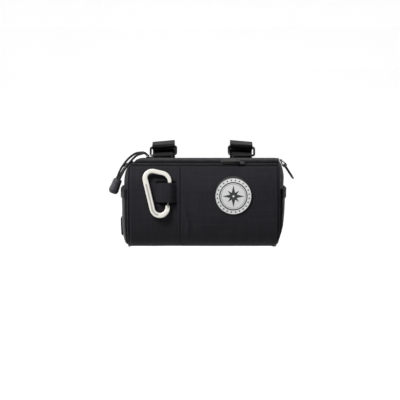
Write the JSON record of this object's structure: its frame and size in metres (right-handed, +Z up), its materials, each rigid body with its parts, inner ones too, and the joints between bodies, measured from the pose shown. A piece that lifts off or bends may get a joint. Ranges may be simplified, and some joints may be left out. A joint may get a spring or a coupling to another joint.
{
  "type": "bicycle handlebar bag",
  "caption": "Small black cloth handlebar bag with a zipped front pocket, a clipped carabiner, a round badge, end pockets with D-rings, and straps round the handlebar.",
  "frame": {"origin": "on the handlebar's axis, at the middle of the bag's length", "axes": "+X along the handlebar to the right as the bag's front is seen, +Y back towards the bicycle, +Z up"},
  "size_m": [0.2255, 0.1319, 0.1298],
  "materials": {
    "cloth": "woven, matt",
    "webbing": "woven, slightly glossy",
    "black_metal": "gloss",
    "moulded": "satin",
    "carabiner": "satin",
    "badge": "embroidered, matt",
    "cord": "braided"
  },
  "bodies": {
    "bag": {"barrel": "cloth", "end_left": "cloth", "end_right": "cloth", "side_pocket_left": "cloth", "side_pocket_right": "cloth", "zip_lip": "cloth", "front_pocket": "cloth", "slot_panel": "cloth", "piping_left": "webbing", "piping_right": "webbing", "hem_left": "webbing", "hem_right": "webbing", "dring_tab_left": "webbing", "dring_tab_right": "webbing", "strap_left": "webbing", "strap_right": "webbing", "anchor_left": "webbing", "anchor_right": "webbing", "side_tab": "webbing", "front_zip": "webbing", "main_zip": "webbing", "ring_left": "black_metal", "ring_right": "black_metal", "front_slider": "black_metal", "main_slider": "black_metal", "pull_grip": "moulded", "carabiner_frame": "carabiner", "patch": "badge", "pull_cord_front": "cord", "pull_cord_back": "cord"},
    "carabiner_gate": {"carabiner_gate": "carabiner"},
    "front_pull": {"front_pull": "moulded"},
    "dring_left": {"dring_left": "black_metal"},
    "dring_right": {"dring_right": "black_metal"}
  },
  "joints": [
    {"name": "gate_hinge", "type": "hinge", "parent": "bag", "child": "carabiner_gate", "pos_m": [-0.0432, -0.10907, -0.05661], "axis": [0, -0.9962, 0.0868], "range_deg": [0, 20], "stiffness_Nm_per_rad": 0.05, "springref_deg": -11.46},
    {"name": "pull_hinge", "type": "hinge", "parent": "bag", "child": "front_pull", "pos_m": [0.0429, -0.08975, -0.00297], "axis": [0, 0.8411, 0.5409], "range_deg": [0, 170]},
    {"name": "dring_left_hinge", "type": "hinge", "parent": "bag", "child": "dring_left", "pos_m": [-0.09491, -0.05452, -0.00969], "axis": [0, 1, 0], "range_deg": [-15, 150]},
    {"name": "dring_right_hinge", "type": "hinge", "parent": "bag", "child": "dring_right", "pos_m": [0.09876, -0.05452, -0.0087], "axis": [0, -1, 0], "range_deg": [-20, 150]}
  ]
}
